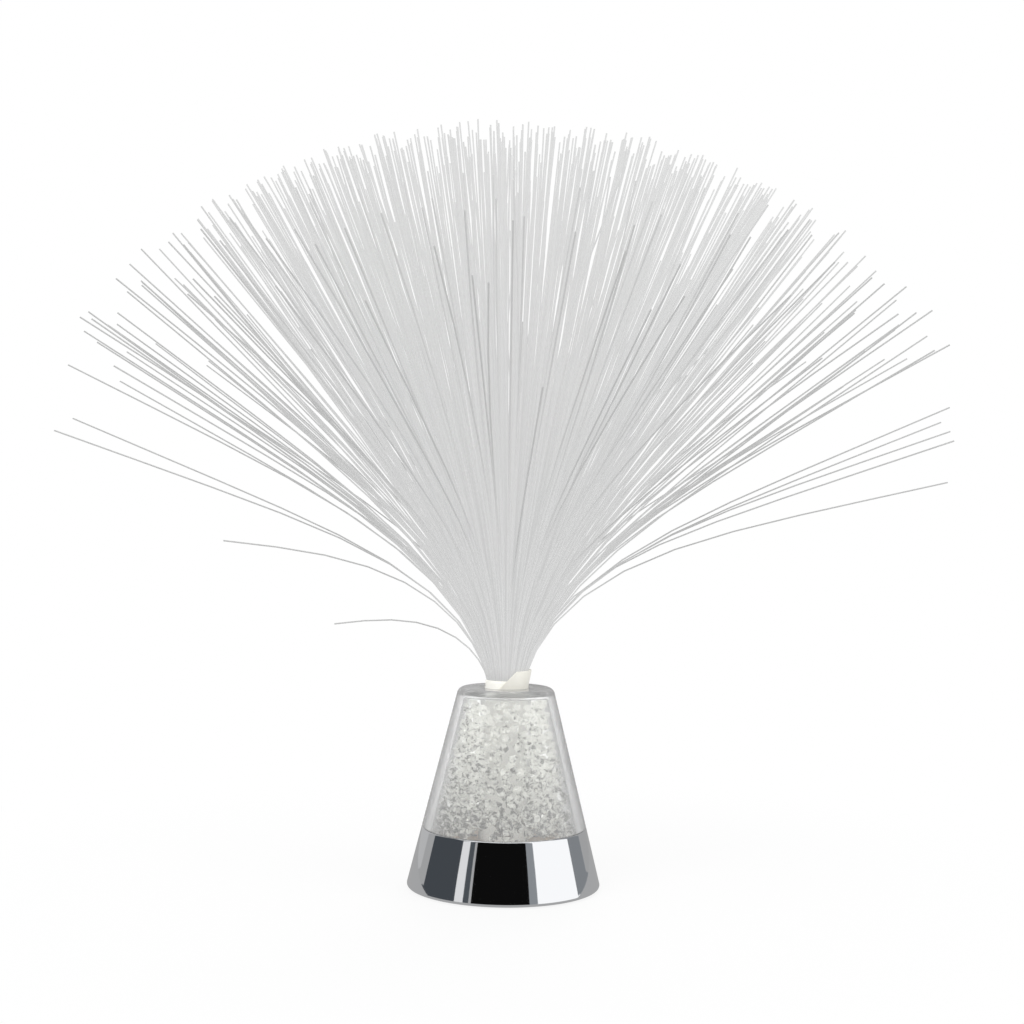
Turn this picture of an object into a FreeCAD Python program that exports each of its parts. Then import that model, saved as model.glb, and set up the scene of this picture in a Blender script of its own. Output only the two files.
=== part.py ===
import FreeCAD, Part

import math
import os
import random

from FreeCAD import Vector

# Flat sides of rounds that are hidden or small; the rest are truly round
wide_round_sides = 40
middle_round_sides = 20
small_round_sides = 16

# Battery cells, size AAA, lying side by side along Y
cell_diameter = 10.5
cell_length = 44.5
cell_count = 3
cell_nub_diameter = 3.8
cell_nub_length = 1.0
cell_gap = 0.4
cell_side_gap = 1.1
cell_floor_gap = 0.15
cell_headroom = 0.35

# Battery contacts of thin sheet metal
contact_thickness = 0.3
contact_height = 7.5
contact_floor_gap = 1.8
contact_width = 8.8
contact_tab_width = 3.0
contact_tab_rise = 1.4
spring_reach = 3.5
spring_width = 5.0
spring_leaf = 0.35
spring_crown = 2.0

# Feet, bottom cover and battery bay
foot_pad_thickness = 1.2
foot_pad_diameter = 7.0
foot_pad_edge_gap = 1.4
foot_pad_angles = (45, 135, 225, 315)
cover_thickness = 2.0
cover_edge_gap = 0.3
bay_wall = 1.2
bay_roof = 1.2
bay_foot_width = 2.0
bay_foot_height = 1.4
tab_slot_gap = 0.3

# Battery door with its hinge: a round barrel and a trunnion pin at each end
door_side_gap = 0.3
door_end_gap = 0.3
door_seat_gap = 0.1
door_recess = 0.1
door_lap = 1.7
door_grip_count = 5
door_grip_pitch = 2.0
door_grip_width = 14.0
door_grip_rib = 0.8
door_grip_rise = 0.4
barrel_radius = 1.3
barrel_setback = 0.7
barrel_gap = 0.25
trunnion_radius = 0.8
trunnion_running_gap = 0.08
trunnion_length = 1.1

# Slide switch
switch_width = 6.0
switch_length = 12.0
switch_height = 5.0
switch_wall = 0.5
switch_travel = 3.0
knob_width = 3.0
knob_length = 3.5
knob_drop = 0.8
knob_gap = 0.3
knob_edge_bevel = 0.4
slider_foot_length = 7.0
slider_foot_height = 1.4
slider_foot_gap = 0.15
scoop_depth = 0.6
scoop_margin = 2.5
terminal_pitch = 3.0
terminal_width = 1.2
terminal_thickness = 0.5
terminal_rise = 2.0

# Chromed base ring with the shelf for the light board
room_round_bay = 3.2
ring_wall = 2.0
ring_table_gap = 0.5
ring_bottom_bevel = 1.0
ring_top_bevel = 0.6
cone_taper = 0.25
wiring_room = 2.6
shelf_thickness = 2.0
shelf_width = 7.5
boss_diameter = 6.0
boss_wall_gap = 0.5
boss_angles = (20, 200)

# Screws of the bottom cover
screw_radius = 1.25
screw_head_radius = 2.5
screw_head_height = 1.2
screw_length = 9.0
screw_hole_gap = 0.1
screw_bite_room = 1.0
screw_slot_width = 0.6
screw_slot_depth = 0.6
screw_slot_share = 0.65

# Clear cup with its centre tube
cup_height = 57.9
cup_skirt_depth = 3.5
cup_skirt_gap = 0.3
cup_board_gap = 0.1
cup_seat_width = 1.4
cup_wall_at_foot = 3.9
cup_wall_at_top = 3.3
cup_top_wall = 3.0
cup_shoulder_round = 3.4
cup_shoulder_steps = 2
socket_wall = 1.1
socket_board_gap = 0.4

# Light board and what is soldered on it
board_thickness = 1.6
board_edge_gap = 0.4
led_size = 5.0
led_height = 1.5
led_corner_cut = 0.8
crystal_led_count = 3
crystal_led_circle = 21.0
resistor_length = 3.2
resistor_width = 1.6
resistor_height = 0.6
resistor_circle = 15.0
controller_length = 5.0
controller_width = 4.0
controller_height = 1.5
controller_offset = 15.0

# Leads
lead_radius = 0.65
lead_sides = 4
lead_rest_gap = 0.1
lead_turn_share = 0.45
lead_turn_chords = 3
battery_lead_reach = 17.0
switch_lead_rise = 3.0
switch_lead_shift = 4.2
switch_lead_climb = 3.2

# Fibre bundle with its sleeve, which stands in the cup's centre tube
sleeve_radius = 9.4
sleeve_wall = 0.6
bundle_running_gap = 0.08
bundle_glue_gap = 0.05
bundle_led_gap = 0.5
bundle_rise_over_cup = 2.9
sleeve_low_rise = 0.9
sleeve_flare_rise = 7.4
sleeve_flare = 1.25
sleeve_cut_offset = 2.0
sleeve_cut_slope = 46.0

# Fibre spray
fibre_count = 96
fibre_tiers = 8
fibre_side = 0.68
fibre_length = 228.0
fibre_length_scatter = 0.025
fibre_rim_shortening = 0.055
fibre_shortening_power = 3
fibre_rim_gap = 0.45
fibre_root_lean = 12.0
fibre_tip_lean = 63.0
fibre_edge_lean = 12.0
fibre_edge_power = 24
fibre_bend_power = 4.5
fibre_bends = (0.0, 0.06, 0.17, 0.40, 1.0)
fibre_steps_per_bend = 12
golden_angle = 137.50776
seed_of_spray = 180

# Crushed crystal fill
chip_spacing = 11.4
chip_tries = 6000
chip_gap = 0.4
chip_least_cut = 0.25
chip_reach = 8.5
chip_fill_height = 49.0
chip_low_bias = 1.3
chip_seed_margin = 0.35
chip_facing_angles = (-30, -15, 0, 15, 30)
chip_group_share = 0.35
seed_of_chips = 5

# Heights that follow from the stack of parts
cover_bottom = foot_pad_thickness
cover_top = cover_bottom + cover_thickness
cell_axis = cover_top + cell_floor_gap + cell_diameter / 2
roof_bottom = cell_axis + cell_diameter / 2 + cell_headroom
roof_top = roof_bottom + bay_roof
shelf_bottom = roof_top + wiring_room
shelf_top = shelf_bottom + shelf_thickness
board_top = shelf_top + board_thickness
ring_top = board_top + cup_board_gap + cup_skirt_depth
cup_top = ring_top + cup_height
cup_ceiling = cup_top - cup_top_wall
bundle_bottom = board_top + led_height + bundle_led_gap
bundle_top = cup_top + bundle_rise_over_cup
fill_bottom = board_top + max(led_height, controller_height, resistor_height) + chip_gap
lead_height = roof_top + lead_radius + lead_rest_gap

# Bay sizes that follow from the cells
bay_half_width = (cell_count * cell_diameter + (cell_count - 1) * cell_gap) / 2 + cell_side_gap
contact_face = (cell_length + spring_reach) / 2
bay_half_length = contact_face + contact_thickness
door_free_end = bay_half_length + door_lap
barrel_y = bay_half_length + barrel_setback
door_bottom = cover_bottom + door_recess
door_top = cover_top - door_seat_gap
barrel_z = door_bottom + barrel_radius
pocket_end = barrel_y + barrel_radius + barrel_gap
pocket_top = barrel_z + barrel_radius + barrel_gap
bay_outer_width = bay_half_width + bay_wall
bay_outer_length = bay_half_length + bay_wall
foot_outer_length = max(pocket_end + bay_wall, bay_outer_length + bay_foot_width)

# Cone of the ring and the cup, wide enough to clear the bay's corners at its roof
bay_corner_radius = math.hypot(bay_outer_width, bay_outer_length)
wall_offset = ring_wall * math.hypot(1, cone_taper)
cone_foot_radius = bay_corner_radius + room_round_bay + wall_offset + cone_taper * roof_top


def cone_radius(height):
    """Outer radius of the ring and the cup at a height."""
    return cone_foot_radius - cone_taper * height


def ring_inside(height):
    """Inner radius of the chromed ring at a height."""
    return cone_radius(height) - wall_offset


# Radii that follow from the cone, and the switch midway between the bay and the ring
switch_offset = (bay_outer_width + ring_inside(cover_top)) / 2
ring_opening_radius = cone_radius(ring_top) - cup_seat_width
cup_skirt_radius = ring_opening_radius - cup_skirt_gap
cup_inside_at_foot = cone_radius(ring_top) - cup_wall_at_foot
cup_inside_at_ceiling = cone_radius(cup_ceiling) - cup_wall_at_top
cup_inner_taper = (cup_inside_at_foot - cup_inside_at_ceiling) / (cup_ceiling - ring_top)
shelf_inner_radius = ring_inside(shelf_top) - shelf_width
boss_circle = ring_inside(shelf_bottom) - boss_wall_gap - boss_diameter / 2
board_radius = ring_opening_radius - board_edge_gap
foot_pad_circle = ring_inside(cover_bottom) - foot_pad_edge_gap - foot_pad_diameter / 2
socket_inner_radius = sleeve_radius + bundle_running_gap
socket_outer_radius = socket_inner_radius + socket_wall
bundle_radius = sleeve_radius - sleeve_wall - bundle_glue_gap
fibre_circle = bundle_radius - fibre_rim_gap - fibre_side / 2


def cup_inside(height):
    """Inner radius of the cup at a height."""
    return cup_inside_at_foot - cup_inner_taper * (height - ring_top)


def revolved(outline):
    """Solid of revolution about Z from a closed outline of radius and height pairs."""
    corners = [Vector(radius, 0, height) for radius, height in outline]
    face = Part.Face(Part.makePolygon(corners + corners[:1]))
    return face.revolve(Vector(0, 0, 0), Vector(0, 0, 1), 360)


def flat_sided(outline, sides):
    """Solid like a turned one, but with flat sides, from a closed outline of radius and height pairs."""
    turns = [360 * (k + 0.5) / sides for k in range(sides)]
    faces = []
    for (low_radius, low_height), (high_radius, high_height) in zip(outline, outline[1:] + outline[:1]):
        low = [Vector(*on_circle(low_radius, turn), low_height) for turn in turns]
        high = [Vector(*on_circle(high_radius, turn), high_height) for turn in turns]
        if low_radius and high_radius:
            for k in range(sides):
                after = (k + 1) % sides
                faces.append([low[k], low[after], high[after], high[k]])
        elif high_radius:
            faces.append(high)
        elif low_radius:
            faces.append(low)
    return flat_faced(faces)


def rod(radius, bottom, top, x=0.0, y=0.0, sides=small_round_sides):
    """Upright rod with flat sides."""
    body = flat_sided([(0, bottom), (radius, bottom), (radius, top), (0, top)], sides)
    body.translate(Vector(x, y, 0))
    return body


def block(low, high):
    """Box between two opposite corners."""
    size = [b - a for a, b in zip(low, high)]
    return Part.makeBox(size[0], size[1], size[2], Vector(*low))


def on_circle(radius, angle):
    """Point at an angle, in degrees, on a circle about Z."""
    turn = math.radians(angle)
    return radius * math.cos(turn), radius * math.sin(turn)


def flat_faced(faces):
    """Solid bounded by flat faces, each given by its corners in turn."""
    shell = Part.Shell([Part.Face(Part.makePolygon(face + face[:1])) for face in faces])
    body = Part.Solid(shell)
    if body.Volume < 0:
        body.reverse()
    return body


def carried_along(line, ring):
    """Solid that carries a ring of corners along a bent line, mitred at each bend.

    Each corner slides along its run to the plane that halves the bend, so every face is flat.
    """
    runs = [(b - a).normalize() for a, b in zip(line, line[1:])]
    rings = [ring]
    for n, run in enumerate(runs):
        onward = runs[n + 1] if n + 1 < len(runs) else run
        mitre = run + onward
        stop = line[n + 1]
        ring = [p + run * (mitre.dot(stop - p) / mitre.dot(run)) for p in ring]
        rings.append(ring)
    faces = [rings[0][::-1], rings[-1]]
    for low, high in zip(rings, rings[1:]):
        for k in range(len(ring)):
            after = (k + 1) % len(ring)
            faces.append([low[k], low[after], high[after], high[k]])
    return flat_faced(faces)


def cell_places():
    """X of each cell and the side, +1 or -1 along Y, on which its nub points."""
    pitch = cell_diameter + cell_gap
    first = -pitch * (cell_count - 1) / 2
    return [(first + pitch * n, 1 if n % 2 == 0 else -1) for n in range(cell_count)]


def end_contacts():
    """X and Y side of the contacts at the two ends of the row of cells."""
    places = cell_places()
    return [(places[0][0], -places[0][1]), (places[-1][0], places[-1][1])]


def base_ring():
    """Chromed cone ring with its inner shelf and the bosses for the cover's screws."""
    bottom = ring_table_gap
    low = ring_bottom_bevel
    top = ring_top_bevel
    ring = revolved([
        (0, bottom),
        (cone_radius(bottom) - low, bottom),
        (cone_radius(bottom + low), bottom + low),
        (cone_radius(ring_top - top), ring_top - top),
        (cone_radius(ring_top) - top, ring_top),
        (0, ring_top),
    ])
    ring = ring.cut(flat_sided([
        (0, 0),
        (ring_inside(0), 0),
        (ring_inside(shelf_bottom), shelf_bottom),
        (shelf_inner_radius, shelf_bottom),
        (shelf_inner_radius, shelf_top),
        (ring_opening_radius, shelf_top),
        (ring_opening_radius, ring_top + bottom),
        (0, ring_top + bottom),
    ], wide_round_sides))
    hole_radius = screw_radius + screw_hole_gap
    hole_top = cover_bottom + screw_length + screw_bite_room
    for angle in boss_angles:
        x, y = on_circle(boss_circle, angle)
        ring = ring.fuse(rod(boss_diameter / 2, cover_top, shelf_bottom, x, y))
        ring = ring.cut(rod(hole_radius, cover_top, hole_top, x, y))
    return ring.removeSplitter()


def bottom_cover():
    """Round cover with the battery bay, the door's opening, the hinge holes and the switch slot."""
    cover = rod(ring_inside(cover_top) - cover_edge_gap, cover_bottom, cover_top,
                sides=wide_round_sides)
    foot_top = cover_top + bay_foot_height
    cover = cover.fuse([
        block((-bay_outer_width, -foot_outer_length, cover_bottom),
              (bay_outer_width, foot_outer_length, foot_top)),
        block((-bay_outer_width, -bay_outer_length, cover_bottom),
              (bay_outer_width, bay_outer_length, roof_top)),
    ])
    cover = cover.cut([
        block((-bay_half_width, -bay_half_length, 0), (bay_half_width, bay_half_length, roof_bottom)),
        block((-bay_half_width, -door_free_end - door_end_gap, 0), (bay_half_width, 0, cover_top)),
        block((-bay_half_width, 0, 0), (bay_half_width, pocket_end, pocket_top)),
    ])
    hinge_hole = Part.makeCylinder(trunnion_radius + trunnion_running_gap, 2 * bay_outer_width,
                                   Vector(-bay_outer_width, barrel_y, barrel_z), Vector(1, 0, 0))
    cover = cover.cut([hinge_hole] + tab_slots() + [switch_scoop(), knob_slot(0, cover_top)])
    return cover.cut([cover_screw_hole(angle) for angle in boss_angles]).removeSplitter()


def tab_slots():
    """Slots in the bay's roof for the solder tabs of the two end contacts."""
    gap = tab_slot_gap
    half = contact_tab_width / 2 + gap
    slots = []
    for x, end in end_contacts():
        near, far = sorted((end * (contact_face - gap), end * bay_half_length))
        slots.append(block((x - half, near, roof_bottom), (x + half, far, roof_top)))
    return slots


def switch_scoop():
    """Shallow tapered dish in the cover, for a fingertip at the switch."""
    half_x = knob_width / 2 + scoop_margin
    half_y = (knob_length + switch_travel) / 2 + scoop_margin
    wires = []
    for depth in (0, scoop_depth):
        x, y = half_x - depth, half_y - depth
        corners = [Vector(switch_offset + sx * x, sy * y, cover_bottom + depth)
                   for sx, sy in ((-1, -1), (1, -1), (1, 1), (-1, 1))]
        wires.append(Part.makePolygon(corners + corners[:1]))
    return Part.makeLoft(wires, True, True)


def knob_slot(bottom, top):
    """Slot in which the switch knob travels."""
    half_x = knob_width / 2 + knob_gap
    half_y = (knob_length + switch_travel) / 2 + knob_gap
    return block((switch_offset - half_x, -half_y, bottom), (switch_offset + half_x, half_y, top))


def cover_screw_hole(angle):
    """Counterbored hole in the cover for one screw."""
    x, y = on_circle(boss_circle, angle)
    bore = rod(screw_radius + screw_hole_gap, cover_bottom, cover_top, x, y)
    seat = cover_bottom + screw_head_height
    return bore.fuse(rod(screw_head_radius + screw_hole_gap, cover_bottom, seat, x, y))


def cover_screws():
    """Screws that hold the bottom cover, with cross recesses in their heads."""
    screws = []
    half = screw_slot_width / 2
    reach = screw_head_radius * screw_slot_share
    seat = cover_bottom + screw_head_height
    recess_top = cover_bottom + screw_slot_depth
    for angle in boss_angles:
        x, y = on_circle(boss_circle, angle)
        screw = rod(screw_head_radius, cover_bottom, seat, x, y)
        screw = screw.fuse(rod(screw_radius, seat, cover_bottom + screw_length, x, y))
        screws.append(screw.cut([
            block((x - reach, y - half, cover_bottom), (x + reach, y + half, recess_top)),
            block((x - half, y - reach, cover_bottom), (x + half, y + reach, recess_top)),
        ]))
    return Part.makeCompound(screws)


def foot_pads():
    """Round rubber pads that the lamp stands on."""
    pads = []
    for angle in foot_pad_angles:
        x, y = on_circle(foot_pad_circle, angle)
        pads.append(rod(foot_pad_diameter / 2, 0, foot_pad_thickness, x, y))
    return Part.makeCompound(pads)


def battery_door():
    """Door of the battery bay, with its hinge barrel, trunnion pins and grip ribs."""
    half = bay_half_width - door_side_gap
    plate = block((-half, -door_free_end, door_bottom), (half, barrel_y, door_top))
    along = Vector(1, 0, 0)
    barrel = Part.makeCylinder(barrel_radius, 2 * half, Vector(-half, barrel_y, barrel_z), along)
    reach = half + trunnion_length
    pin = Part.makeCylinder(trunnion_radius, 2 * reach, Vector(-reach, barrel_y, barrel_z), along)
    ribs = []
    for n in range(door_grip_count):
        y = -door_free_end + door_grip_pitch * (n + 1)
        ribs.append(block((-door_grip_width / 2, y, door_bottom - door_grip_rise),
                          (door_grip_width / 2, y + door_grip_rib, door_bottom)))
    return plate.fuse([barrel, pin] + ribs).removeSplitter()


def battery_cells():
    """Three AAA cells, each with its nub at alternate ends."""
    shoulder = cell_length - cell_nub_length
    cells = []
    for x, side in cell_places():
        cell = flat_sided([
            (0, 0),
            (cell_diameter / 2, 0),
            (cell_diameter / 2, shoulder),
            (cell_nub_diameter / 2, shoulder),
            (cell_nub_diameter / 2, cell_length),
            (0, cell_length),
        ], middle_round_sides).removeSplitter()
        cell.rotate(Vector(0, 0, 0), Vector(1, 0, 0), -90 * side)
        cell.translate(Vector(x, side * (contact_face - cell_length), cell_axis))
        cells.append(cell)
    return Part.makeCompound(cells)


def contact_plate(low_x, high_x, side, tab_x=None):
    """Sheet-metal contact against one end wall, with a solder tab if tab_x is given."""
    bottom = cover_top + contact_floor_gap
    top = bottom + contact_height
    near, far = sorted((side * contact_face, side * bay_half_length))
    plate = block((low_x, near, bottom), (high_x, far, top))
    if tab_x is None:
        return plate
    half = contact_tab_width / 2
    tab = block((tab_x - half, near, top), (tab_x + half, far, roof_top + contact_tab_rise))
    return plate.fuse(tab).removeSplitter()


def contact_plates():
    """Contacts that put the cells in series: an end plate and a bridge on each side."""
    places = cell_places()
    half = contact_width / 2
    plates = [contact_plate(x - half, x + half, side, x) for x, side in end_contacts()]
    for (x, side), (next_x, _) in zip(places, places[1:]):
        plates.append(contact_plate(x - half, next_x + half, side))
    return Part.makeCompound(plates)


def contact_springs():
    """Bowed leaf springs that press on the flat ends of the cells."""
    bottom = cover_top + contact_floor_gap
    top = bottom + contact_height
    leaf = spring_leaf
    crown = spring_crown / 2
    springs = []
    for x, side in cell_places():
        outline = [
            (0, bottom),
            (spring_reach, cell_axis - crown),
            (spring_reach, cell_axis + crown),
            (0, top),
            (0, top - leaf * 2),
            (spring_reach - leaf, cell_axis + crown - leaf / 2),
            (spring_reach - leaf, cell_axis - crown + leaf / 2),
            (0, bottom + leaf * 2),
        ]
        corners = [Vector(x - spring_width / 2, -side * (contact_face - reach), z)
                   for reach, z in outline]
        face = Part.Face(Part.makePolygon(corners + corners[:1]))
        springs.append(face.extrude(Vector(spring_width, 0, 0)))
    return Part.makeCompound(springs)


def switch_body():
    """Case of the slide switch, open below for its knob."""
    half_x, half_y = switch_width / 2, switch_length / 2
    wall = switch_wall
    x = switch_offset
    top = cover_top + switch_height
    case = block((x - half_x, -half_y, cover_top), (x + half_x, half_y, top))
    room = block((x - half_x + wall, -half_y + wall, cover_top + wall),
                 (x + half_x - wall, half_y - wall, top - wall))
    return case.cut([room, knob_slot(cover_top, cover_top + wall)])


def switch_terminals():
    """Solder blades on top of the switch."""
    bottom = cover_top + switch_height
    half_x, half_y = terminal_thickness / 2, terminal_width / 2
    blades = []
    for n in (-1, 0, 1):
        y = n * terminal_pitch
        blades.append(block((switch_offset - half_x, y - half_y, bottom),
                            (switch_offset + half_x, y + half_y, bottom + terminal_rise)))
    return Part.makeCompound(blades)


def switch_knob():
    """Sliding knob: a stem out of the cover and a foot inside the switch."""
    x = switch_offset
    y = -switch_travel / 2
    foot_bottom = cover_top + switch_wall + slider_foot_gap
    half_foot = switch_width / 2 - switch_wall - slider_foot_gap
    foot = block((x - half_foot, y - slider_foot_length / 2, foot_bottom),
                 (x + half_foot, y + slider_foot_length / 2, foot_bottom + slider_foot_height))
    low = cover_bottom - knob_drop
    stem = block((x - knob_width / 2, y - knob_length / 2, low),
                 (x + knob_width / 2, y + knob_length / 2, foot_bottom))
    lower_edges = [edge for edge in stem.Edges if edge.BoundBox.ZMax < low + knob_edge_bevel]
    return stem.makeChamfer(knob_edge_bevel, lower_edges).fuse(foot).removeSplitter()


def shoulder_outline():
    """Points round the cup's shoulder, from its cone to its flat top, tangent to both."""
    turn = math.pi / 2 - math.atan(cone_taper)
    reach = cup_shoulder_round * math.tan(turn / 2)
    centre_radius = cone_radius(cup_top) - reach
    centre_height = cup_top - cup_shoulder_round
    points = []
    for n in range(cup_shoulder_steps + 1):
        angle = math.pi / 2 - turn * (1 - n / cup_shoulder_steps)
        points.append((centre_radius + cup_shoulder_round * math.cos(angle),
                       centre_height + cup_shoulder_round * math.sin(angle)))
    return points


def crystal_cup():
    """Clear cone cup, open below, with a centre tube for the fibre bundle."""
    skirt_bottom = board_top + cup_board_gap
    tube_bottom = board_top + socket_board_gap
    shell = revolved([
        (0, skirt_bottom),
        (cup_skirt_radius, skirt_bottom),
        (cup_skirt_radius, ring_top),
        (cone_radius(ring_top), ring_top),
        *shoulder_outline(),
        (0, cup_top),
    ])
    room = flat_sided([
        (0, 0),
        (cup_inside(0), 0),
        (cup_inside(cup_ceiling), cup_ceiling),
        (0, cup_ceiling),
    ], wide_round_sides)
    tube = rod(socket_outer_radius, tube_bottom, cup_ceiling + cup_top_wall / 2, sides=wide_round_sides)
    bore = Part.makeCylinder(socket_inner_radius, cup_top + cup_top_wall)
    return shell.cut(room).fuse(tube).cut(bore)


def light_board():
    """Round circuit board, held between the ring's shelf and the cup's skirt."""
    return rod(board_radius, shelf_top, board_top, sides=wide_round_sides)


def led_at(x, y):
    """Square surface-mount lamp with one corner cut off to mark its polarity."""
    half = led_size / 2
    cut = led_corner_cut
    outline = [(half, -half), (half, half - cut), (half - cut, half), (-half, half), (-half, -half)]
    corners = [Vector(x + a, y + b, board_top) for a, b in outline]
    face = Part.Face(Part.makePolygon(corners + corners[:1]))
    return face.extrude(Vector(0, 0, led_height))


def crystal_leds():
    """Lamps round the board that light the crystals."""
    leds = []
    for n in range(crystal_led_count):
        leds.append(led_at(*on_circle(crystal_led_circle, 270 + 360 * n / crystal_led_count)))
    return Part.makeCompound(leds)


def board_resistors():
    """One chip resistor for each lamp."""
    half_x, half_y = resistor_length / 2, resistor_width / 2
    resistors = []
    for n in range(crystal_led_count):
        x, y = on_circle(resistor_circle, 270 + 360 * n / crystal_led_count)
        resistors.append(block((x - half_x, y - half_y, board_top),
                               (x + half_x, y + half_y, board_top + resistor_height)))
    return Part.makeCompound(resistors)


def colour_controller():
    """Chip that changes the colour of the lamps."""
    half_x, half_y = controller_length / 2, controller_width / 2
    y = controller_offset
    return block((-half_x, y - half_y, board_top), (half_x, y + half_y, board_top + controller_height))


def rounded_line(points):
    """Points along straight runs whose corners are rounded by short chords of a tangent arc."""
    line = [points[0]]
    for before, corner, after in zip(points, points[1:], points[2:]):
        run_in = (corner - before).normalize()
        run_out = (after - corner).normalize()
        turn = run_in.getAngle(run_out)
        shorter = min(before.distanceToPoint(corner), corner.distanceToPoint(after))
        trim = lead_turn_share * shorter
        radius = trim / math.tan(turn / 2)
        enter = corner - run_in * trim
        inward = (run_out - run_in * run_in.dot(run_out)).normalize()
        for n in range(lead_turn_chords + 1):
            angle = turn * n / lead_turn_chords
            line.append(enter + run_in * (radius * math.sin(angle))
                        + inward * (radius * (1 - math.cos(angle))))
    return line + [points[-1]]


def lead(points):
    """Insulated wire of flat sides along a rounded line."""
    line = rounded_line(points)
    along = (line[1] - line[0]).normalize()
    upright = Vector(0, 0, 1) if abs(along.z) < 0.5 else Vector(0, 1, 0)
    side = along.cross(upright).normalize()
    other = along.cross(side)
    ring = []
    for n in range(lead_sides):
        out, over = on_circle(lead_radius, 360 * (n + 0.5) / lead_sides)
        ring.append(line[0] + side * out + other * over)
    return carried_along(line, ring)


def battery_leads():
    """Wires from the two end contacts, over the bay's roof, up to the board."""
    leads = []
    for x, side in end_contacts():
        start = side * contact_face
        stop = side * (contact_face - battery_lead_reach)
        leads.append(lead([
            Vector(x, start, lead_height),
            Vector(x, stop, lead_height),
            Vector(x, stop, shelf_top),
        ]))
    return Part.makeCompound(leads)


def switch_leads():
    """Wires from the switch's outer blades up to the board, inside the shelf's opening."""
    blade_top = cover_top + switch_height + terminal_rise
    bend = blade_top + switch_lead_rise
    inner = switch_offset - switch_lead_shift
    leads = []
    for n in (-1, 1):
        y = n * terminal_pitch
        leads.append(lead([
            Vector(switch_offset, y, blade_top),
            Vector(switch_offset, y, bend),
            Vector(inner, y, bend + switch_lead_climb),
            Vector(inner, y, shelf_top),
        ]))
    return Part.makeCompound(leads)


def potted_bundle():
    """Fibres set in resin inside the sleeve, from above the lamp to above the cup."""
    return rod(bundle_radius, bundle_bottom, bundle_top, sides=middle_round_sides)


def bundle_sleeve():
    """White sleeve round the bundle, flared at the neck and cut off aslant."""
    inside = sleeve_radius - sleeve_wall
    top = cup_top + sleeve_flare_rise
    low_top = cup_top + sleeve_low_rise
    pipe = Part.makeCylinder(sleeve_radius, low_top - board_top, Vector(0, 0, board_top))
    flare = flat_sided([
        (0, low_top),
        (sleeve_radius, low_top),
        (sleeve_radius + sleeve_flare, top),
        (0, top),
    ], middle_round_sides)
    inner = flat_sided([
        (0, 0),
        (inside, 0),
        (inside, low_top),
        (inside + sleeve_flare, top),
        (0, top),
    ], middle_round_sides)
    sleeve = pipe.fuse(flare).cut(inner)
    size = 4 * sleeve_radius
    aslant = Part.makeBox(2 * size, size, size, Vector(-size, -size / 2, 0))
    aslant.rotate(Vector(0, 0, 0), Vector(0, 1, 0), -sleeve_cut_slope)
    aslant.translate(Vector(-sleeve_cut_offset, 0, low_top))
    above = block((-size, -size, low_top), (size, size, low_top + size))
    return sleeve.cut(aslant.common(above))


def fibre_line(share, azimuth, length):
    """Bend points of a fibre, from the top of the bundle to its tip.

    share is the fibre's place in the bundle, 0 at the middle and 1 at the rim. The lean from
    upright grows from the root to the tip, fast at first, as the fibre's own weight bends it.
    """
    root = fibre_root_lean * share
    tip = fibre_tip_lean * share + fibre_edge_lean * share ** fibre_edge_power
    radius, height, travelled = fibre_circle * share, bundle_top, 0.0
    line = [Vector(*on_circle(radius, azimuth), height)]
    for start, end in zip(fibre_bends, fibre_bends[1:]):
        step = (end - start) * length / fibre_steps_per_bend
        for _ in range(fibre_steps_per_bend):
            travelled += step
            done = 1 - (1 - (travelled - step / 2) / length) ** fibre_bend_power
            lean = math.radians(root + (tip - root) * done)
            radius += step * math.sin(lean)
            height += step * math.cos(lean)
        line.append(Vector(*on_circle(radius, azimuth), height))
    return line


def fibre(share, azimuth, length):
    """One fibre of square section that stands flat on the potted bundle."""
    line = fibre_line(share, azimuth, length)
    half = fibre_side / 2
    out = Vector(*on_circle(half, azimuth), 0)
    side = Vector(*on_circle(half, azimuth + 90), 0)
    root = line[0]
    return carried_along(line, [root - out - side, root + out - side, root + out + side, root - out + side])


def fibre_spray():
    """Fibres of the spray in tiers, from the middle of the bundle to its rim."""
    chance = random.Random(seed_of_spray)
    tiers = [[] for _ in range(fibre_tiers)]
    for n in range(fibre_count):
        share = math.sqrt((n + 0.5) / fibre_count)
        length = fibre_length * (1 - fibre_rim_shortening * share ** fibre_shortening_power)
        length *= 1 - fibre_length_scatter * chance.random()
        tiers[n * fibre_tiers // fibre_count].append(fibre(share, golden_angle * n, length))
    return [Part.makeCompound(tier) for tier in tiers]


def cut_back(faces, normal, limit):
    """Cut a convex body, held as polygons, back to the side where normal.point <= limit."""
    if max(normal.dot(p) for face in faces for p in face) - limit < chip_least_cut:
        return faces
    kept, rim = [], []
    for face in faces:
        corners = []
        for start, end in zip(face, face[1:] + face[:1]):
            a = normal.dot(start) - limit
            b = normal.dot(end) - limit
            if a <= 0:
                corners.append(start)
            if a * b < 0:
                crossing = start + (end - start) * (a / (a - b))
                corners.append(crossing)
                if a < 0:
                    rim.append(crossing)
        if len(corners) > 2:
            kept.append(corners)
    if len(rim) > 2:
        kept.append(in_turn(rim, normal))
    return kept


def in_turn(points, normal):
    """Points of one plane in order round their middle."""
    middle = Vector(0, 0, 0)
    for point in points:
        middle += point * (1 / len(points))
    first = (points[0] - middle).normalize()
    second = normal.cross(first)
    return sorted(points, key=lambda p: math.atan2(second.dot(p - middle), first.dot(p - middle)))


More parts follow.
